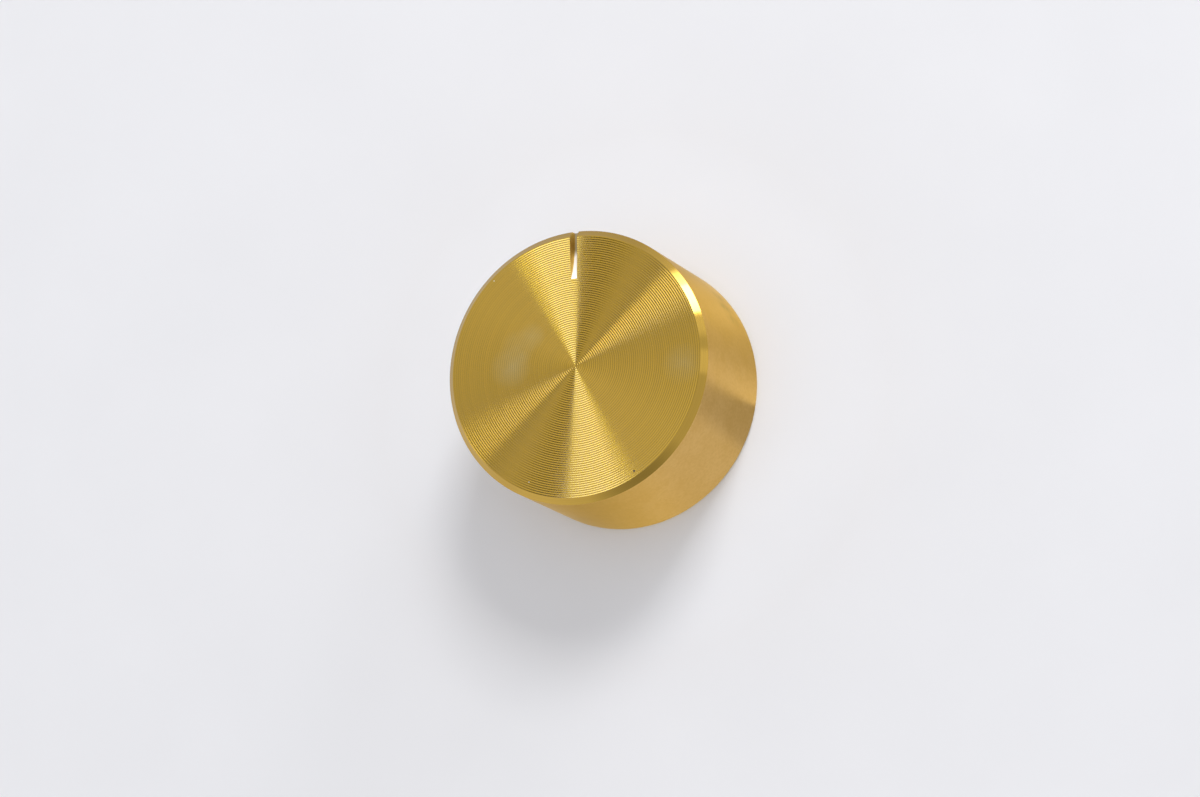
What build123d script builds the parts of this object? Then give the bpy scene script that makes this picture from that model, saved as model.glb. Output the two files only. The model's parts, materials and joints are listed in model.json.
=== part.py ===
from build123d import *
import os
from math import hypot, radians, sqrt, tan

# A turned aluminium control knob for a 6 mm shaft, with a chamfered face, a pointer notch cut by a wheel
# and a set screw that clamps the shaft.
# Millimetres. +Z runs along the shaft axis towards the face, the pointer is towards +Y, and the origin is
# the middle of the back, where the knob meets the panel.

# Turned blank
knob_diameter = 25.0
knob_height = 13.0
face_chamfer = 0.55
back_edge_break = 0.2

# Pointer notch: a small wheel with a tapered rim runs out on the face and opens at the outer wall
pointer_length = 4.5
pointer_depth = 1.05
pointer_floor_width = 0.56
pointer_wall_angle = 3.5
pointer_wheel_radius = 8.0

# Recess in the back, over the nut and washer that hold the control to its panel
nut_recess_diameter = 16.0
nut_recess_depth = 2.5
nut_recess_edge_break = 0.2

# Shaft bore: a drilled blind hole that keeps a roof under the face
shaft_diameter = 6.0
shaft_clearance = 0.03
bore_roof = 1.7
bore_lead_in = 0.4
drill_point_angle = 118.0

# Set screw, a socket screw with a cup point, and its tapped hole
screw_diameter = 3.0
screw_length = 5.0
screw_end_chamfer = 0.3
screw_tip_gap = 0.05
thread_clearance = 0.03
socket_width = 1.5
socket_depth = 2.0
cup_diameter = 1.4
cup_angle = 120.0
screw_hole_countersink = 0.2

# How far each cutter runs past the face that it opens
overrun = 1.0

knob_radius = knob_diameter / 2
nut_recess_radius = nut_recess_diameter / 2
bore_radius = shaft_diameter / 2 + shaft_clearance
drill_point_height = bore_radius / tan(radians(drill_point_angle / 2))
bore_end = knob_height - bore_roof - drill_point_height
bore_wall_start = nut_recess_depth + bore_lead_in
screw_height = (bore_wall_start + bore_end) / 2
screw_radius = screw_diameter / 2
screw_hole_radius = screw_radius + thread_clearance
screw_tip = bore_radius + screw_tip_gap

on_floor = (Align.CENTER, Align.CENTER, Align.MIN)


def turned_blank():
    blank = Cylinder(knob_radius, knob_height, align=on_floor)
    rims = blank.edges().filter_by(GeomType.CIRCLE).sort_by(Axis.Z)
    blank = chamfer(rims[-1], face_chamfer)
    return chamfer(blank.edges().filter_by(GeomType.CIRCLE).sort_by(Axis.Z)[0], back_edge_break)


def opening_cone(radius, size):
    # A cone that breaks the edge of a round hole, widest where the hole opens.
    return Cone(radius + size, radius, size, align=on_floor)


def nut_recess():
    pocket = Pos(0, 0, -overrun) * Cylinder(nut_recess_radius, nut_recess_depth + overrun, align=on_floor)
    return pocket + opening_cone(nut_recess_radius, nut_recess_edge_break)


def shaft_bore():
    wall = Cylinder(bore_radius, bore_end, align=on_floor)
    lead_in = Pos(0, 0, nut_recess_depth) * opening_cone(bore_radius, bore_lead_in)
    drill_point = Pos(0, 0, bore_end) * Cone(bore_radius, 0, drill_point_height, align=on_floor)
    return wall + lead_in + drill_point


def pointer_wheel():
    # The wheel's rim passes through the run-out on the face and the notch's floor at the outer wall.
    chord = hypot(pointer_length, pointer_depth)
    rise = sqrt(pointer_wheel_radius**2 - (chord / 2) ** 2)
    axle_y = knob_radius - pointer_length / 2 + rise * pointer_depth / chord
    axle_z = knob_height - pointer_depth / 2 + rise * pointer_length / chord
    rim_height = pointer_depth + overrun
    half_floor = pointer_floor_width / 2
    half_mouth = half_floor + rim_height * tan(radians(pointer_wall_angle))
    rim_section = Plane.XZ * Polygon(
        (-half_floor, -pointer_wheel_radius),
        (half_floor, -pointer_wheel_radius),
        (half_mouth, rim_height - pointer_wheel_radius),
        (-half_mouth, rim_height - pointer_wheel_radius),
        align=None,
    )
    return Pos(0, axle_y, axle_z) * revolve(rim_section, Axis.X)


def outwards_from(radius):
    # A plane on the set screw's axis, facing out of the knob at that radius.
    return Plane(origin=(0, radius, screw_height), x_dir=(1, 0, 0), z_dir=(0, 1, 0))


def set_screw_hole():
    hole = outwards_from(0) * Cylinder(screw_hole_radius, knob_radius + overrun, align=on_floor)
    countersink = outwards_from(knob_radius - screw_hole_countersink) * Cone(
        screw_hole_radius,
        screw_hole_radius + screw_hole_countersink + overrun,
        screw_hole_countersink + overrun,
        align=on_floor,
    )
    return hole + countersink


def knob_body():
    return turned_blank() - nut_recess() - shaft_bore() - pointer_wheel() - set_screw_hole()


def set_screw():
    shank = Cylinder(screw_radius, screw_length, align=on_floor)
    shank = chamfer(shank.edges().filter_by(GeomType.CIRCLE), screw_end_chamfer)
    cup = Cone(cup_diameter / 2, 0, cup_diameter / 2 / tan(radians(cup_angle / 2)), align=on_floor)
    hexagon = RegularPolygon(socket_width / 2, 6, major_radius=False)
    socket = Pos(0, 0, screw_length - socket_depth) * extrude(hexagon, socket_depth + overrun)
    return outwards_from(screw_tip) * (shank - cup - socket)


pieces = {
    "knob_body": knob_body(),
    "set_screw": set_screw(),
}
os.makedirs("parts", exist_ok=True)
for name, piece in pieces.items():
    export_step(piece, f"parts/{name}.step")
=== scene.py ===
import json
import math
import bmesh
import bpy
from mathutils import Matrix, Vector


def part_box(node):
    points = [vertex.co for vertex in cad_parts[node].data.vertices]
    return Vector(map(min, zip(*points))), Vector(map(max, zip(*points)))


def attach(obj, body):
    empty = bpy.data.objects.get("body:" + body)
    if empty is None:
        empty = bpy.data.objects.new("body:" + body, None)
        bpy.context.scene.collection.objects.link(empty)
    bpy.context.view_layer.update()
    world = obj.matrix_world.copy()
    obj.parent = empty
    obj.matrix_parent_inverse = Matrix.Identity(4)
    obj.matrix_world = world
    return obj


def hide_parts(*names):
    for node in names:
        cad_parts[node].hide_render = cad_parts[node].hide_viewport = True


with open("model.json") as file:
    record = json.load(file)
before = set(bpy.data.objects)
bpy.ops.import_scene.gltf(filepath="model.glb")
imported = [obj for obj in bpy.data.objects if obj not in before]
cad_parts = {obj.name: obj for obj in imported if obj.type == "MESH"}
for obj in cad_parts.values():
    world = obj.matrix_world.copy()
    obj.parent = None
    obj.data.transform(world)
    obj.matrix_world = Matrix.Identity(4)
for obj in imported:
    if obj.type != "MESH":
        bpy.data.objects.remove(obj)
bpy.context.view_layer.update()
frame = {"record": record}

millimetre = 0.001        # pieces are modelled in millimetres and brought to metres at the end
mergeDistance = 0.0005        # in millimetres
bumpDistance = 0.0001        # in metres
origin = (0, 0, 0)
alongZ = (0, 0, 1)


def nodeBox(node):
    low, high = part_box(node)
    return Vector(low) / millimetre, Vector(high) / millimetre


bodyHigh = nodeBox("knob_body")[1]
screwLow, screwHigh = nodeBox("set_screw")
mounts = {mount["name"]: mount for mount in frame["record"]["mounts"]}
knobRadius = bodyHigh.x
knobHeight = bodyHigh.z
boreRadius = mounts["shaft_bore"]["dims"]["r_mm"]
boreLength = mounts["shaft_bore"]["dims"]["length_mm"]
screwRadius = screwHigh.x
screwHeight = (screwLow.z + screwHigh.z) / 2
print("frame loaded: knob", round(2 * knobRadius, 3), "x", round(knobHeight, 3), "mm")


# node helpers for the finishes

def feed(tree, socket, value):
    if isinstance(value, bpy.types.NodeSocket):
        tree.links.new(value, socket)
    else:
        socket.default_value = value


def addNode(tree, kind, settings=None, **sockets):
    # a socket goes by its name, or by its place as i0, i1 and so on
    node = tree.nodes.new(kind)
    for name, value in (settings or {}).items():
        setattr(node, name, value)
    for name, value in sockets.items():
        byPlace = name[0] == "i" and name[1:].isdigit()
        feed(tree, node.inputs[int(name[1:]) if byPlace else name], value)
    return node


def newFinish(name):
    material = bpy.data.materials.new(name)
    material.use_nodes = True
    tree = material.node_tree
    shader = tree.nodes["Principled BSDF"]
    place = tree.nodes.new("ShaderNodeTexCoord").outputs["Object"]
    return material, tree, shader, place


def setShader(tree, shader, **values):
    for name, value in values.items():
        feed(tree, shader.inputs[name.replace("_", " ")], value)


def mathNode(tree, operation, a, b=0.0):
    return addNode(tree, "ShaderNodeMath", {"operation": operation}, i0=a, i1=b).outputs[0]


def vectorNode(tree, operation, vector, **more):
    return addNode(tree, "ShaderNodeVectorMath", {"operation": operation}, i0=vector, **more)


def lengthOf(tree, vector):
    return vectorNode(tree, "LENGTH", vector).outputs["Value"]


def remap(tree, value, low, high, newLow, newHigh):
    node = addNode(tree, "ShaderNodeMapRange", None, i0=value, i1=low, i2=high, i3=newLow, i4=newHigh)
    return node.outputs[0]


def mixColour(tree, share, a, b):
    return addNode(tree, "ShaderNodeMix", {"data_type": "RGBA"}, i0=share, i6=a, i7=b).outputs[2]


def toned(tree, value, span, a, b):
    # goes from colour a to colour b as the value crosses the span
    return mixColour(tree, remap(tree, value, *span, 0.0, 1.0), a, b)


def stretched(tree, place, scale):
    return addNode(tree, "ShaderNodeMapping", None, Vector=place, Scale=scale).outputs[0]


def noise(tree, vector, scale, detail, roughness=0.5):
    sockets = {"Vector": vector, "Scale": scale, "Detail": detail, "Roughness": roughness}
    return addNode(tree, "ShaderNodeTexNoise", None, **sockets).outputs["Fac"]


def axisRadius(tree, place):
    return lengthOf(tree, stretched(tree, place, (1, 1, 0)))


def distanceFrom(tree, place, spot):
    # how far a point of the face lies from a spot given in millimetres
    centre = (-spot[0] * millimetre, -spot[1] * millimetre, 0)
    flat = stretched(tree, place, (1, 1, 0))
    return lengthOf(tree, addNode(tree, "ShaderNodeMapping", None, Vector=flat, Location=centre).outputs[0])


def addBump(tree, shader, height, strength):
    bump = addNode(tree, "ShaderNodeBump", None, Strength=strength, Distance=bumpDistance, Height=height)
    setShader(tree, shader, Normal=bump.outputs[0])


# mesh helpers

def meshObject(name, bm, materials):
    mesh = bpy.data.meshes.new(name)
    bm.to_mesh(mesh)
    bm.free()
    for material in materials:
        mesh.materials.append(material)
    piece = bpy.data.objects.new(name, mesh)
    bpy.context.scene.collection.objects.link(piece)
    return piece


def profileLine(bm, points):
    verts = [bm.verts.new((reach, 0, height)) for reach, height in points]
    return verts + [bm.edges.new(pair) for pair in zip(verts, verts[1:])]


def latheRun(bm, points, steps, materialIndex=0, sectors=8):
    # one sector is spun, then copied round the axis
    angle = 2 * math.pi / sectors
    run = bmesh.new()
    line = profileLine(run, points)
    bmesh.ops.spin(run, geom=line, cent=origin, axis=alongZ, angle=angle, steps=steps // sectors)
    geom = run.verts[:] + run.edges[:] + run.faces[:]
    for sector in range(1, sectors):
        copied = bmesh.ops.duplicate(run, geom=geom)["geom"]
        moved = [item for item in copied if isinstance(item, bmesh.types.BMVert)]
        bmesh.ops.rotate(run, cent=origin, matrix=Matrix.Rotation(angle * sector, 3, "Z"), verts=moved)
    for face in run.faces:
        face.material_index = materialIndex
    mesh = bpy.data.meshes.new("run")
    run.to_mesh(mesh)
    run.free()
    bm.from_mesh(mesh)
    bpy.data.meshes.remove(mesh)


def closeUp(bm):
    bmesh.ops.remove_doubles(bm, verts=bm.verts, dist=mergeDistance)
    bmesh.ops.recalc_face_normals(bm, faces=bm.faces)


def boolean(piece, tool, operation):
    # the tool's faces keep their own finish in the cut
    modifier = piece.modifiers.new("cut", "BOOLEAN")
    modifier.operation = operation
    modifier.object = tool
    modifier.solver = "MANIFOLD"
    modifier.material_mode = "TRANSFER"
    bpy.context.view_layer.update()
    result = bpy.data.meshes.new_from_object(piece.evaluated_get(bpy.context.evaluated_depsgraph_get()))
    piece.modifiers.clear()
    old = piece.data
    piece.data = result
    bpy.data.meshes.remove(old)
    bpy.data.meshes.remove(tool.data)


def finishMesh(piece, sharpAngle):
    bm = bmesh.new()
    bm.from_mesh(piece.data)
    bmesh.ops.scale(bm, vec=(millimetre,) * 3, verts=bm.verts)
    for face in bm.faces:
        face.smooth = True
    for edge in bm.edges:
        edge.smooth = len(edge.link_faces) == 2 and edge.calc_face_angle() < sharpAngle
    bm.to_mesh(piece.data)
    bm.free()
    triangles = sum(len(polygon.vertices) - 2 for polygon in piece.data.polygons)
    print(piece.name, "triangles:", triangles, "materials:", [m.name for m in piece.data.materials])


def eased(points, radius, steps, support):
    # each inner corner of the outline gets a small round, with support points so the flats stay flat
    out = [points[0]]
    for before, corner, after in zip(points, points[1:], points[2:]):
        p = Vector(corner)
        toBefore = (Vector(before) - p).normalized()
        toAfter = (Vector(after) - p).normalized()
        halfAngle = toBefore.angle(toAfter) / 2
        reach = radius / math.tan(halfAngle)
        out.append(tuple(p + toBefore * (reach + support)))
        for step in range(steps + 1):
            share = step / steps
            a = p + toBefore * reach * (1 - share)
            b = p + toAfter * reach * share
            out.append(tuple(a.lerp(b, share)))
        out.append(tuple(p + toAfter * (reach + support)))
    out.append(points[-1])
    return out


# the knob's own sizes, in millimetres

knob = {
    "steps": 192,
    "faceChamfer": 0.55,
    "backEdgeBreak": 0.2,
    "edgeRound": 0.03,
    "edgeSteps": 3,
    "edgeSupport": 0.012,
    "recessRadius": 8.0,
    "recessDepth": 2.5,
    "recessEdgeBreak": 0.2,
    "boreLeadIn": 0.4,
    "boreRoof": 1.7,
    "sideTolerance": 0.001,
    "sharpAngle": math.radians(15),
}
faceRadius = knobRadius - knob["faceChamfer"]


# finishes: gold anodised aluminium and black oxide steel

gold = {"edgeTint": (0.85, 0.66, 0.25, 1), "coatIor": 1.6}


def goldShader(name, look):
    material, tree, shader, place = newFinish(name)
    setShader(tree, shader, Metallic=1.0, Specular_Tint=look.get("edgeTint", gold["edgeTint"]))
    setShader(tree, shader, Coat_Weight=look["coat"], Coat_Roughness=look["coatRoughness"])
    setShader(tree, shader, Coat_IOR=gold["coatIor"])
    return material, tree, shader, place


spun = {
    "rings": 59,
    "grooveSlope": math.radians(13),
    "valleyShare": 0.5,
    # the gold dye with painted shading, for each groove's outward and inward flanks
    "outwardDyeAndShading": (0.59, 0.352, 0.010, 1),
    "inwardDyeAndShading": (0.55, 0.327, 0.009, 1),
    "ringToneShares": (0.975, 1.025),
    "roughness": 0.19,
    "anisotropy": 1.0,
    "anisotropyTurn": 0.25,        # a share of a turn
    "coat": 1.0,
    "coatRoughness": 0.14,
    # place and reach in millimetres, then strength
    "hazes": [
        ((-6.3, 0.5), 2.1, 0.58),
        ((-5.6, 2.2), 1.8, 0.54),
        ((-4.2, 3.1), 1.4, 0.5),
        ((10.2, -0.8), 2.0, 0.4),
    ],
    "hazeDye": (0.58, 0.46, 0.20, 1),
    "hazeGrain": 300.0,
    "hazeSpan": (0.35, 0.6),
    "hazeShares": (0.45, 1.0),
    # place and reach in millimetres
    "dirt": [((5.46, -10.09), 0.12)],
    "dirtColour": (0.035, 0.022, 0.012, 1),
    "chips": [((-4.62, -10.13), 0.07), ((-7.80, 8.68), 0.06)],
    "chipColour": (0.82, 0.80, 0.72, 1),
    "speckCore": 0.6,        # the share of a speck's reach that is fully covered
}


def spunFinish():
    material, tree, shader, place = goldShader("spunFace", spun)
    # the lathe lines run round the axis, so light spreads outwards
    around = addNode(tree, "ShaderNodeTangent", {"direction_type": "RADIAL", "axis": "Z"})
    setShader(tree, shader, Roughness=spun["roughness"], Tangent=around.outputs[0])
    setShader(tree, shader, Anisotropic=spun["anisotropy"], Anisotropic_Rotation=spun["anisotropyTurn"])
    # painted shading: each groove's outward flank gets a slightly paler colour than its inward flank, so that
    # the rings read as light and dark lines
    turns = mathNode(tree, "DIVIDE", axisRadius(tree, place), faceRadius * millimetre / spun["rings"])
    inward = mathNode(tree, "GREATER_THAN", mathNode(tree, "FRACT", turns), spun["valleyShare"])
    colour = mixColour(tree, inward, spun["outwardDyeAndShading"], spun["inwardDyeAndShading"])
    # each ring has a tone of its own
    ring = mathNode(tree, "FLOOR", turns)
    chance = addNode(tree, "ShaderNodeTexWhiteNoise", {"noise_dimensions": "1D"}, W=ring).outputs["Value"]
    tone = remap(tree, chance, 0.0, 1.0, *spun["ringToneShares"])
    colour = vectorNode(tree, "SCALE", colour, Scale=tone).outputs[0]
    # pale haze left by handling
    cloud = noise(tree, place, spun["hazeGrain"], detail=3.0)
    wobble = remap(tree, cloud, *spun["hazeSpan"], *spun["hazeShares"])
    for spot, size, strength in spun["hazes"]:
        near = remap(tree, distanceFrom(tree, place, spot), size * millimetre, 0.0, 0.0, strength)
        colour = mixColour(tree, mathNode(tree, "MULTIPLY", near, wobble), colour, spun["hazeDye"])
    # a speck of dirt and small chips
    for spots, shade in ((spun["dirt"], spun["dirtColour"]), (spun["chips"], spun["chipColour"])):
        for spot, size in spots:
            reach = size * millimetre
            near = remap(tree, distanceFrom(tree, place, spot), reach, reach * spun["speckCore"], 0.0, 1.0)
            colour = mixColour(tree, near, colour, shade)
    setShader(tree, shader, Base_Color=colour)
    return material


bright = {
    "dye": (0.66, 0.40, 0.038, 1),
    "deepDye": (0.60, 0.36, 0.028, 1),
    "edgeTint": (1.0, 1.0, 1.0, 1),
    "coat": 0.8,
    "coatRoughness": 0.08,
    "roughness": (0.09, 0.1125),
    "lineGrain": 9000.0,
    "lineSpan": (0.3, 0.7),
}


def brightFinish():
    material, tree, shader, place = goldShader("brightCut", bright)
    across = addNode(tree, "ShaderNodeCombineXYZ", None, X=axisRadius(tree, place)).outputs[0]
    line = noise(tree, across, bright["lineGrain"], detail=2.0)
    colour = toned(tree, line, bright["lineSpan"], bright["dye"], bright["deepDye"])
    roughness = remap(tree, line, *bright["lineSpan"], *bright["roughness"])
    setShader(tree, shader, Base_Color=colour, Roughness=roughness)
    return material


paint = {
    "white": (0.95, 0.95, 0.96, 1),
    "dull": (0.88, 0.88, 0.87, 1),
    "wearAndShade": (0.36, 0.31, 0.20, 1),
    "shadeFrom": 10.2,        # distance from the axis where the painted shade on the paint starts
    "shadeTo": 10.9,
    "glow": 0.25,
    "roughness": 0.45,
    "grain": 6000.0,
    "grainSpan": (0.4, 0.75),
}


def paintFinish():
    # white paint that fills the bottom of the pointer notch
    material, tree, shader, place = newFinish("pointerPaint")
    cloud = noise(tree, place, paint["grain"], detail=3.0)
    colour = toned(tree, cloud, paint["grainSpan"], paint["white"], paint["dull"])
    # painted shade: the paint goes to a dark beige towards the rim, where the notch is deepest
    reach = (paint["shadeFrom"] * millimetre, paint["shadeTo"] * millimetre)
    wearAndShade = remap(tree, axisRadius(tree, place), *reach, 0.0, 1.0)
    colour = mixColour(tree, wearAndShade, colour, paint["wearAndShade"])
    setShader(tree, shader, Base_Color=colour, Roughness=paint["roughness"])
    # a little glow lifts the paint in the narrow notch
    glow = remap(tree, wearAndShade, 0.0, 1.0, paint["glow"], 0.0)
    setShader(tree, shader, Emission_Color=paint["white"], Emission_Strength=glow)
    material.cycles.emission_sampling = "NONE"
    return material


milled = {
    "dye": (0.84, 0.64, 0.22, 1),
    "deepDye": (0.75, 0.54, 0.15, 1),
    "coat": 0.1,
    "coatRoughness": 0.3,
    "roughness": 0.55,
    "grain": 5000.0,
    "grainSpan": (0.35, 0.65),
}


def milledFinish():
    material, tree, shader, place = goldShader("milledWall", milled)
    cloud = noise(tree, place, milled["grain"], detail=3.0)
    colour = toned(tree, cloud, milled["grainSpan"], milled["deepDye"], milled["dye"])
    setShader(tree, shader, Base_Color=colour, Roughness=milled["roughness"])
    return material


satin = {
    "deepDye": (0.685, 0.437, 0.18, 1),
    "paleDye": (0.755, 0.499, 0.22, 1),
    "edgeTint": (0.75, 0.60, 0.25, 1),
    "coat": 0.03,
    "coatRoughness": 0.3,
    "roughness": (0.288, 0.352),
    "roughSpan": (0.35, 0.65),
    "grain": 4200.0,
    "grainRoughness": 0.6,
    "bump": 0.09,
    "fleck": 3800.0,
    "fleckStretch": (1, 1, 0.75),
    "fleckShare": 0.6,
    "mottle": 480.0,
    "mottleShare": 0.4,
    "toneSpan": (0.38, 0.62),
    # angle in degrees and height, then half length and half height
    "stains": [((37, 2.7), (0.9, 2.0)), ((31, 3.4), (1.0, 2.2)), ((25, 3.2), (0.9, 2.0))],
    "stainColour": (0.43, 0.31, 0.155, 1),
    "blots": 1000.0,
    "blotSpan": (0.36, 0.64),
    "blotShares": (0.2, 0.8),
}


def satinFinish():
    material, tree, shader, place = goldShader("satinSide", satin)
    # the blasted wall has a fine grain, with faint clouds in the dye
    grain = noise(tree, place, satin["grain"], detail=3.0, roughness=satin["grainRoughness"])
    addBump(tree, shader, grain, satin["bump"])
    fleck = noise(tree, stretched(tree, place, satin["fleckStretch"]), satin["fleck"], detail=3.0)
    clouds = noise(tree, place, satin["mottle"], detail=3.0)
    fleckPart = mathNode(tree, "MULTIPLY", fleck, satin["fleckShare"])
    cloudPart = mathNode(tree, "MULTIPLY", clouds, satin["mottleShare"])
    tone = mathNode(tree, "ADD", fleckPart, cloudPart)
    colour = toned(tree, tone, satin["toneSpan"], satin["deepDye"], satin["paleDye"])
    # dull smudges low on the wall
    blots = noise(tree, place, satin["blots"], detail=4.0)
    patchy = remap(tree, blots, *satin["blotSpan"], *satin["blotShares"])
    for (angle, height), (along, tall) in satin["stains"]:
        a = math.radians(angle)
        centre = Vector((knobRadius * math.cos(a), knobRadius * math.sin(a), height)) * millimetre
        moved = vectorNode(tree, "SUBTRACT", place, i1=centre).outputs[0]
        distance = lengthOf(tree, stretched(tree, moved, (1 / along, 1 / along, 1 / tall)))
        near = remap(tree, distance, millimetre, 0.0, 0.0, 1.0)
        share = mathNode(tree, "MULTIPLY", near, patchy)
        colour = mixColour(tree, share, colour, satin["stainColour"])
    roughness = remap(tree, tone, *satin["roughSpan"], *satin["roughness"])
    setShader(tree, shader, Base_Color=colour, Roughness=roughness)
    return material


back = {
    "deepDye": (0.50, 0.30, 0.018, 1),
    "paleDye": (0.68, 0.43, 0.055, 1),
    "coat": 0.2,
    "coatRoughness": 0.2,
    "roughness": (0.24, 0.36),
    "lineGrain": 6000.0,
    "lineSpan": (0.3, 0.7),
    "bump": 0.05,
}


def backFinish():
    # fine tool lines on the back, in the recess and in the bore
    material, tree, shader, place = goldShader("turnedBack", back)
    along = addNode(tree, "ShaderNodeSeparateXYZ", None, Vector=place).outputs["Z"]
    where = addNode(tree, "ShaderNodeCombineXYZ", None, X=axisRadius(tree, place), Y=along).outputs[0]
    line = noise(tree, where, back["lineGrain"], detail=3.0)
    colour = toned(tree, line, back["lineSpan"], back["deepDye"], back["paleDye"])
    roughness = remap(tree, line, *back["lineSpan"], *back["roughness"])
    setShader(tree, shader, Base_Color=colour, Roughness=roughness)
    addBump(tree, shader, line, back["bump"])
    return material


steel = {
    "dark": (0.020, 0.020, 0.022, 1),
    # paler patches where the black oxide is worn
    "wearAndShade": (0.060, 0.058, 0.056, 1),
    "roughness": (0.483, 0.336),
    "patch": 1500.0,
    "patchRoughness": 0.6,
    "patchSpan": (0.35, 0.7),
}


def steelFinish():
    material, tree, shader, place = newFinish("blackOxide")
    patch = noise(tree, place, steel["patch"], detail=4.0, roughness=steel["patchRoughness"])
    colour = toned(tree, patch, steel["patchSpan"], steel["dark"], steel["wearAndShade"])
    roughness = remap(tree, patch, *steel["patchSpan"], *steel["roughness"])
    setShader(tree, shader, Metallic=1.0, Base_Color=colour, Roughness=roughness)
    return material


spunFace = spunFinish()
brightCut = brightFinish()
pointerPaint = paintFinish()
milledWall = milledFinish()
satinSide = satinFinish()
turnedBack = backFinish()
blackOxide = steelFinish()
print("finishes made")


# thread shared by the set screw and its tapped hole

thread = {
    "pitch": 0.5,
    "depth": 0.29,
    "crestShare": 0.16,
    "rootShare": 0.22,
    "phaseShare": 0.35,
    "steps": 48,
    "leadTurns": 6,        # turns before the screw's point
    "spareTurns": 3,        # turns that the square ends are cut from
    "sharpAngle": math.radians(40),
}
threadLead = thread["leadTurns"] * thread["pitch"]


def threadedRod(radius, start, length):
    # one turn of the zigzag profile, climbing a pitch, closes on itself; the ends are cut square
    pitch = thread["pitch"]
    steps = thread["steps"]
    root = radius - thread["depth"]
    crest = thread["crestShare"] * pitch
    flank = (pitch - crest - thread["rootShare"] * pitch) / 2
    points = []
    for turn in range(math.ceil(length / pitch) + thread["spareTurns"]):
        foot = start + (turn - 1 - thread["phaseShare"]) * pitch
        points += [(radius, foot), (radius, foot + crest)]
        points += [(root, foot + crest + flank), (root, foot + pitch - flank)]
    bm = bmesh.new()
    line = profileLine(bm, points)
    climb = (0, 0, pitch / steps)
    bmesh.ops.spin(bm, geom=line, cent=origin, axis=alongZ, dvec=climb, angle=2 * math.pi, steps=steps)
    bmesh.ops.remove_doubles(bm, verts=bm.verts, dist=mergeDistance)
    for height, side in ((start, -1), (start + length, 1)):
        geom = bm.verts[:] + bm.edges[:] + bm.faces[:]
        level = {"plane_co": (0, 0, height), "plane_no": (0, 0, side)}
        cut = bmesh.ops.bisect_plane(bm, geom=geom, clear_outer=True, **level)
        rim = [item for item in cut["geom_cut"] if isinstance(item, bmesh.types.BMEdge)]
        bmesh.ops.holes_fill(bm, edges=rim)
    closeUp(bm)
    return bm


def turnOutwards(bm):
    # from +Z to the set screw's own axis, out of the knob along +Y
    turn = Matrix.Translation((0, 0, screwHeight)) @ Matrix.Rotation(-math.pi / 2, 4, "X")
    bmesh.ops.transform(bm, matrix=turn, verts=bm.verts)


def coneTool(segments, lowRadius, highRadius, depth, foot):
    bm = bmesh.new()
    radii = {"radius1": lowRadius, "radius2": highRadius}
    bmesh.ops.create_cone(bm, cap_ends=True, segments=segments, depth=depth, **radii)
    bmesh.ops.translate(bm, vec=(0, 0, foot + depth / 2), verts=bm.verts)
    turnOutwards(bm)
    return bm


# the knob: one turned piece

notch = {
    "length": 4.5,
    "depth": 1.05,
    "floorWidth": 0.56,
    "wallAngle": math.radians(3.5),
    "wheelRadius": 8.0,
    "sweep": math.radians(80),
    "steps": 96,
    "overrun": 1.0,
    "wallFacing": 0.5,        # a face that looks more sideways than this is a wall
}
screwHole = {"clearance": 0.03, "countersink": 0.2, "overrun": 1.0, "steps": 64}
holeRadius = screwRadius + screwHole["clearance"]


def ringRun():
    # each ring left by the lathe tool is a shallow groove between two crests
    pitch = faceRadius / spun["rings"]
    depth = pitch * spun["valleyShare"] * math.tan(spun["grooveSlope"])
    points = []
    for ring in range(spun["rings"]):
        points += [(ring * pitch, knobHeight), ((ring + spun["valleyShare"]) * pitch, knobHeight - depth)]
    return points + [(faceRadius, knobHeight)]


def knobBlank():
    edge = knob["backEdgeBreak"]
    recess = knob["recessRadius"]
    lip = knob["recessEdgeBreak"]
    wall = eased([
        (faceRadius, knobHeight),
        (knobRadius, knobHeight - knob["faceChamfer"]),
        (knobRadius, edge),
        (knobRadius - edge, 0),
        (recess + lip, 0),
    ], knob["edgeRound"], knob["edgeSteps"], knob["edgeSupport"])
    inside = [
        (recess + lip, 0),
        (recess, lip),
        (recess, knob["recessDepth"]),
        (boreRadius + knob["boreLeadIn"], knob["recessDepth"]),
        (boreRadius, knob["recessDepth"] + knob["boreLeadIn"]),
        (boreRadius, boreLength + knob["recessDepth"] + knob["boreLeadIn"]),
        (0.0, knobHeight - knob["boreRoof"]),
    ]
    # the wall's outline is split where the upright side starts and ends
    sideReach = knobRadius - knob["sideTolerance"]
    upright = [index for index, (reach, _) in enumerate(wall) if reach > sideReach]
    sideStart, sideEnd = upright[0], upright[-1]
    finishes = [spunFace, brightCut, satinSide, turnedBack]
    runs = [
        (spunFace, ringRun()),
        (brightCut, wall[:sideStart + 1]),
        (satinSide, wall[sideStart:sideEnd + 1]),
        (turnedBack, wall[sideEnd:]),
        (turnedBack, inside),
    ]
    bm = bmesh.new()
    for finish, points in runs:
        latheRun(bm, points, knob["steps"], finishes.index(finish))
    closeUp(bm)
    return meshObject("knobBody", bm, finishes)


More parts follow.
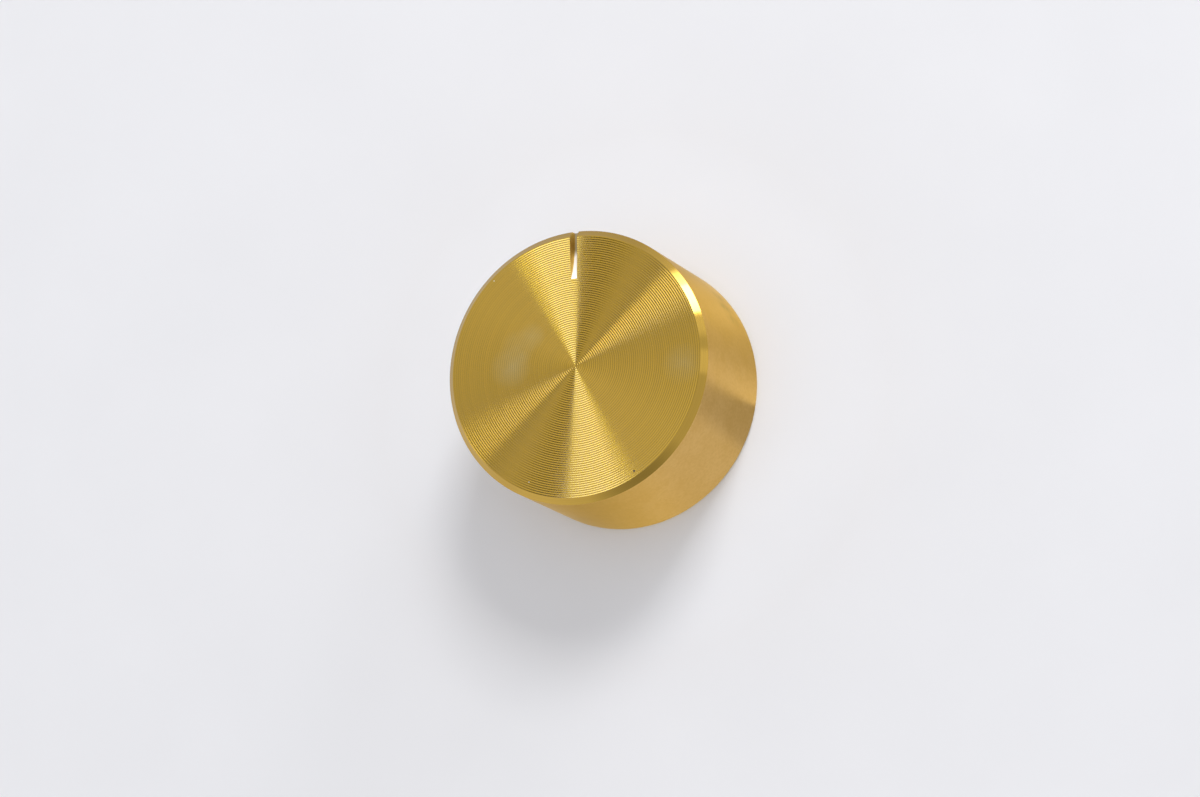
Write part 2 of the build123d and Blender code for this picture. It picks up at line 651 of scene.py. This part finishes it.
def notchWheel():
    # the wheel passes through the run-out on the face and the notch's floor at the outer wall
    chord = math.hypot(notch["length"], notch["depth"])
    rise = math.sqrt(notch["wheelRadius"] ** 2 - (chord / 2) ** 2)
    axleY = knobRadius - notch["length"] / 2 + rise * notch["depth"] / chord
    axleZ = knobHeight - notch["depth"] / 2 + rise * notch["length"] / chord
    rim = notch["depth"] + notch["overrun"]
    low = axleZ - notch["wheelRadius"]
    halfFloor = notch["floorWidth"] / 2
    halfMouth = halfFloor + rim * math.tan(notch["wallAngle"])
    corners = [(-halfFloor, low), (halfFloor, low), (halfMouth, low + rim), (-halfMouth, low + rim)]
    bm = bmesh.new()
    section = bm.faces.new([bm.verts.new((x, axleY, z)) for x, z in corners])
    axle = (0, axleY, axleZ)
    bmesh.ops.rotate(bm, cent=axle, matrix=Matrix.Rotation(-notch["sweep"] / 2, 3, "X"), verts=bm.verts)
    geom = [section] + section.edges[:] + section.verts[:]
    bmesh.ops.spin(bm, geom=geom, cent=axle, axis=(1, 0, 0), angle=notch["sweep"], steps=notch["steps"])
    closeUp(bm)
    finishes = [pointerPaint, milledWall]
    for face in bm.faces:
        finish = milledWall if abs(face.normal.x) > notch["wallFacing"] else pointerPaint
        face.material_index = finishes.index(finish)
    return meshObject("notchWheel", bm, finishes)


def tappedHole():
    reach = knobRadius + screwHole["overrun"]
    bm = threadedRod(holeRadius, screwLow.y - threadLead, reach - screwLow.y + threadLead)
    turnOutwards(bm)
    return meshObject("tappedHole", bm, [turnedBack])


def countersink():
    depth = screwHole["countersink"] + screwHole["overrun"]
    foot = knobRadius - screwHole["countersink"]
    bm = coneTool(screwHole["steps"], holeRadius, holeRadius + depth, depth, foot)
    closeUp(bm)
    return meshObject("countersink", bm, [turnedBack])


knobPiece = knobBlank()
boolean(knobPiece, notchWheel(), "DIFFERENCE")
boolean(knobPiece, tappedHole(), "DIFFERENCE")
boolean(knobPiece, countersink(), "DIFFERENCE")
finishMesh(knobPiece, knob["sharpAngle"])
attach(knobPiece, "root")
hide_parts("knob_body")
print("knob turned and notched")


# the set screw: threaded, with a cup point and a hexagon socket

screw = {
    "endChamfer": 0.3,
    "cupRadius": 0.7,
    "cupDepth": 0.404,
    "socketWidth": 1.5,
    "socketDepth": 2.0,
    "socketSides": 6,
    "overrun": 0.5,
    "runOutTurns": 2,        # turns of thread past the screw's outer end
    "steps": 96,
}


def screwEnvelope(low, high):
    chamfer = screw["endChamfer"]
    bm = bmesh.new()
    latheRun(bm, [
        (0.0, low + screw["cupDepth"]),
        (screw["cupRadius"], low),
        (screwRadius - chamfer, low),
        (screwRadius, low + chamfer),
        (screwRadius, high - chamfer),
        (screwRadius - chamfer, high),
        (0.0, high),
    ], screw["steps"])
    closeUp(bm)
    turnOutwards(bm)
    return meshObject("screwEnvelope", bm, [blackOxide])


def socketTool(high):
    depth = screw["socketDepth"] + screw["overrun"]
    radius = screw["socketWidth"] / 2 / math.cos(math.pi / screw["socketSides"])
    bm = coneTool(screw["socketSides"], radius, radius, depth, high - screw["socketDepth"])
    return meshObject("socketTool", bm, [blackOxide])


rodLength = screwHigh.y - screwLow.y + threadLead + screw["runOutTurns"] * thread["pitch"]
screwRod = threadedRod(screwRadius, screwLow.y - threadLead, rodLength)
turnOutwards(screwRod)
screwPiece = meshObject("setScrew", screwRod, [blackOxide])
boolean(screwPiece, screwEnvelope(screwLow.y, screwHigh.y), "INTERSECT")
boolean(screwPiece, socketTool(screwHigh.y), "DIFFERENCE")
finishMesh(screwPiece, thread["sharpAngle"])
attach(screwPiece, "root")
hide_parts("set_screw")
print("set screw made")


# pale floor, in metres

floor = {
    "radius": 3.0,
    "segments": 96,
    "colour": (0.866, 0.862, 0.884, 1),
    # a whiter ring round the knob makes up for the gold that it casts there
    "closeColour": (0.91, 0.93, 0.98, 1),
    "closeReach": (0.0135, 0.025),
    "roughness": 0.9,
    "specular": 0.1,
    "grain": 60.0,
    "grainSpan": (0.3, 0.7),
    "grainShares": (0.99, 1.01),
    "seenInMetal": (0.99, 0.99, 1.0, 1),
    # share of a turn round the knob, and the brightness that the metal shows there, close by and further off
    "nearShares": [
        (0.0, 0.88), (0.022, 0.74), (0.049, 0.82), (0.083, 1.12), (0.128, 1.12), (0.16, 0.85),
        (0.2, 0.80), (0.66, 0.72), (0.683, 0.66), (0.712, 0.70), (0.75, 0.82), (0.792, 0.90),
        (0.831, 0.83), (0.911, 0.80), (0.926, 0.58), (0.969, 0.55), (0.974, 1.08),
    ],
    "nearTwist": 3.1,        # turns per metre, so that the levels follow the wall's own lines
    "farShares": [(0.0, 0.80), (0.2, 0.72), (0.24, 0.58), (0.46, 0.58), (0.52, 0.74), (0.9, 0.78)],
    "farReach": (0.020, 0.028),
}


def aroundRamp(tree, turn, shares):
    ramp = addNode(tree, "ShaderNodeValToRGB", None, Fac=turn)
    stops = ramp.color_ramp.elements
    stops.remove(stops[1])
    for index, (share, level) in enumerate(shares + [(1.0, shares[0][1])]):
        stop = stops[0] if index == 0 else stops.new(share)
        stop.position = share
        stop.color = (level, level, level, 1)
    return ramp.outputs[0]


def floorFinish():
    material, tree, shader, place = newFinish("paleFloor")
    radius = axisRadius(tree, place)
    close = remap(tree, radius, *floor["closeReach"], 1.0, 0.0)
    plain = mixColour(tree, close, floor["colour"], floor["closeColour"])
    cloud = noise(tree, place, floor["grain"], detail=3.0)
    fleck = remap(tree, cloud, *floor["grainSpan"], *floor["grainShares"])
    colour = vectorNode(tree, "SCALE", plain, Scale=fleck).outputs[0]
    setShader(tree, shader, Base_Color=colour, Roughness=floor["roughness"])
    setShader(tree, shader, Specular_IOR_Level=floor["specular"])
    # painted light and shade: glossy rays see the floor glow at these levels, so the metal reflects lighter
    # and darker bands round the knob
    parts = addNode(tree, "ShaderNodeSeparateXYZ", None, Vector=place)
    angle = mathNode(tree, "ARCTAN2", parts.outputs["Y"], parts.outputs["X"])
    turn = mathNode(tree, "DIVIDE", angle, 2 * math.pi)
    pastKnob = mathNode(tree, "SUBTRACT", radius, knobRadius * millimetre)
    twisted = mathNode(tree, "SUBTRACT", turn, mathNode(tree, "MULTIPLY", pastKnob, floor["nearTwist"]))
    nearLevel = aroundRamp(tree, mathNode(tree, "FRACT", twisted), floor["nearShares"])
    farLevel = aroundRamp(tree, mathNode(tree, "FRACT", turn), floor["farShares"])
    level = toned(tree, radius, floor["farReach"], nearLevel, farLevel)
    glow = addNode(tree, "ShaderNodeEmission", None, Color=floor["seenInMetal"], Strength=level)
    isGlossy = tree.nodes.new("ShaderNodeLightPath").outputs["Is Glossy Ray"]
    either = addNode(tree, "ShaderNodeMixShader", None, i0=isGlossy, i1=shader.outputs[0], i2=glow.outputs[0])
    tree.links.new(either.outputs[0], tree.nodes["Material Output"].inputs["Surface"])
    # the glow is soft, so it needs no lamp samples of its own
    material.cycles.emission_sampling = "NONE"
    return material


floorMesh = bmesh.new()
bmesh.ops.create_circle(floorMesh, cap_ends=True, segments=floor["segments"], radius=floor["radius"])
floorPiece = meshObject("floor", floorMesh, [floorFinish()])


# soft studio light: four boxes and strips that only the metal shows, one lamp that casts the shadow,
# and a world with soft patches

aim = Vector((0, 0, knobHeight * millimetre))
wattsPerRadiance = 4        # for each square metre of an area lamp
# angles are in degrees and sizes in metres; roll turns a lamp about its own axis
lamps = {
    "leftBox": {
        "azimuth": 128.1, "elevation": 18.3, "roll": -4.3, "distance": 0.6, "width": 0.071, "height": 0.314,
        "radiance": 2.8, "tint": (0.86, 1.05, 1.8), "onlyInMetal": True,
    },
    "leftStrip": {
        "azimuth": 122.2, "elevation": 36.9, "roll": -23.8, "distance": 0.6, "width": 0.105, "height": 0.356,
        "radiance": 1.95, "tint": (0.86, 1.05, 1.8), "onlyInMetal": True,
    },
    "topBox": {
        "azimuth": 75.6, "elevation": 51.5, "roll": -27.3, "distance": 0.6, "width": 0.1, "height": 0.370,
        "radiance": 1.30, "tint": (0.97, 1.0, 1.1), "onlyInMetal": True,
    },
    "rightBox": {
        "azimuth": 46.6, "elevation": 13.7, "roll": -17, "distance": 0.6, "width": 0.176, "height": 0.07,
        "radiance": 4.2, "tint": (0.97, 1.0, 1.06), "onlyInMetal": True,
    },
    "shadowKey": {
        "azimuth": 63, "elevation": 42, "roll": 0, "distance": 0.8, "width": 0.25, "height": 0.25,
        "radiance": 11, "tint": (1.0, 1.0, 1.0), "onlyInMetal": False,
    },
}


def fromAngles(azimuth, elevation):
    a, e = math.radians(azimuth), math.radians(elevation)
    return Vector((math.cos(e) * math.cos(a), math.cos(e) * math.sin(a), math.sin(e)))


for name, lamp in lamps.items():
    light = bpy.data.lights.new(name, "AREA")
    light.shape = "RECTANGLE"
    light.size = lamp["width"]
    light.size_y = lamp["height"]
    light.color = lamp["tint"]
    light.energy = lamp["radiance"] * wattsPerRadiance * lamp["width"] * lamp["height"]
    holder = bpy.data.objects.new(name, light)
    toLamp = fromAngles(lamp["azimuth"], lamp["elevation"])
    holder.location = aim + toLamp * lamp["distance"]
    ownTurn = Matrix.Rotation(math.radians(lamp["roll"]), 3, "Z")
    holder.rotation_euler = (toLamp.to_track_quat("Z", "Y").to_matrix() @ ownTurn).to_euler()
    holder.visible_camera = False
    holder.visible_diffuse = not lamp["onlyInMetal"]
    holder.visible_glossy = lamp["onlyInMetal"]
    bpy.context.scene.collection.objects.link(holder)

worldLight = {
    "colour": (0.97, 0.98, 1.0, 1),
    "overhead": 0.62,
    "horizon": 0.82,
    "heights": (0.10, 0.40),
    "backdrop": (0.80, 0.806, 0.83, 1),
    # azimuth, elevation, inner and outer reach in degrees, brightness
    "patches": [
        (285, 20, 3, 31, -0.29),
        (9.5, 22.5, 5.5, 8, 0.28),
        (31, 18, 2, 8, 0.3),
        (51, 12.3, 0, 15, 5),
        (80, 3, 3, 12, -0.12),
        (113, 45, 3, 13, -0.68),
        (143, 36, 3, 12, 0.05),
        (158, 39, 3, 10, -0.12),
        (101, 57, 2, 8, 0.2),
        (100, 47, 2, 6, 0.3),
        (200, 61, 4, 15, 0.34),
        (330, 78, 15, 35, 0.33),
        (174, 54, 2, 9, -0.4),
        (186, 40, 2, 10, -0.4),
        (75, 76, 4, 16, -0.08),
    ],
}
world = bpy.data.worlds.new("studio")
world.use_nodes = True
tree = world.node_tree
direction = tree.nodes.new("ShaderNodeTexCoord").outputs["Generated"]
height = addNode(tree, "ShaderNodeSeparateXYZ", None, Vector=direction).outputs["Z"]
strength = remap(tree, height, *worldLight["heights"], worldLight["horizon"], worldLight["overhead"])
for azimuth, elevation, inner, outer, brightness in worldLight["patches"]:
    towards = vectorNode(tree, "DOT_PRODUCT", direction, i1=fromAngles(azimuth, elevation)).outputs["Value"]
    reach = (math.cos(math.radians(outer)), math.cos(math.radians(inner)))
    strength = mathNode(tree, "ADD", strength, remap(tree, towards, *reach, 0.0, brightness))
surround = tree.nodes["Background"]
setShader(tree, surround, Color=worldLight["colour"], Strength=strength)
backdrop = addNode(tree, "ShaderNodeBackground", None, Color=worldLight["backdrop"])
isCamera = tree.nodes.new("ShaderNodeLightPath").outputs["Is Camera Ray"]
seen = addNode(tree, "ShaderNodeMixShader", None, i0=isCamera, i1=surround.outputs[0], i2=backdrop.outputs[0])
tree.links.new(seen.outputs[0], tree.nodes["World Output"].inputs["Surface"])
world.cycles.sampling_method = "NONE"
bpy.context.scene.world = world
bpy.context.scene.view_settings.view_transform = "Standard"
print("floor and lights set")


# camera at the photograph's viewing angle, as a 1200 x 797 image

eye = {
    "azimuth": -31.25,
    "elevation": 64.52,
    "roll": -62.2,
    "distanceInRadii": 32.785,
    "rightInRadii": 0.1766,
    "upInRadii": -0.2324,
    "lens": 138.0,
    "sensorWidth": 36.0,
    "clipStart": 0.01,
}
turn = Matrix.Rotation(math.radians(eye["azimuth"] + 90), 3, "Z")
tip = Matrix.Rotation(math.radians(90 - eye["elevation"]), 3, "X")
roll = Matrix.Rotation(math.radians(eye["roll"]), 3, "Z")
facing = turn @ tip @ roll
offset = Vector((eye["rightInRadii"], eye["upInRadii"], eye["distanceInRadii"])) * knobRadius * millimetre
camera = bpy.data.cameras.new("photoCamera")
camera.lens = eye["lens"]
camera.sensor_width = eye["sensorWidth"]
camera.sensor_fit = "HORIZONTAL"
camera.clip_start = eye["clipStart"]
cameraHolder = bpy.data.objects.new("photoCamera", camera)
cameraHolder.matrix_world = Matrix.Translation(aim + facing @ offset) @ facing.to_4x4()
bpy.context.scene.collection.objects.link(cameraHolder)
bpy.context.scene.camera = cameraHolder
print("camera set")
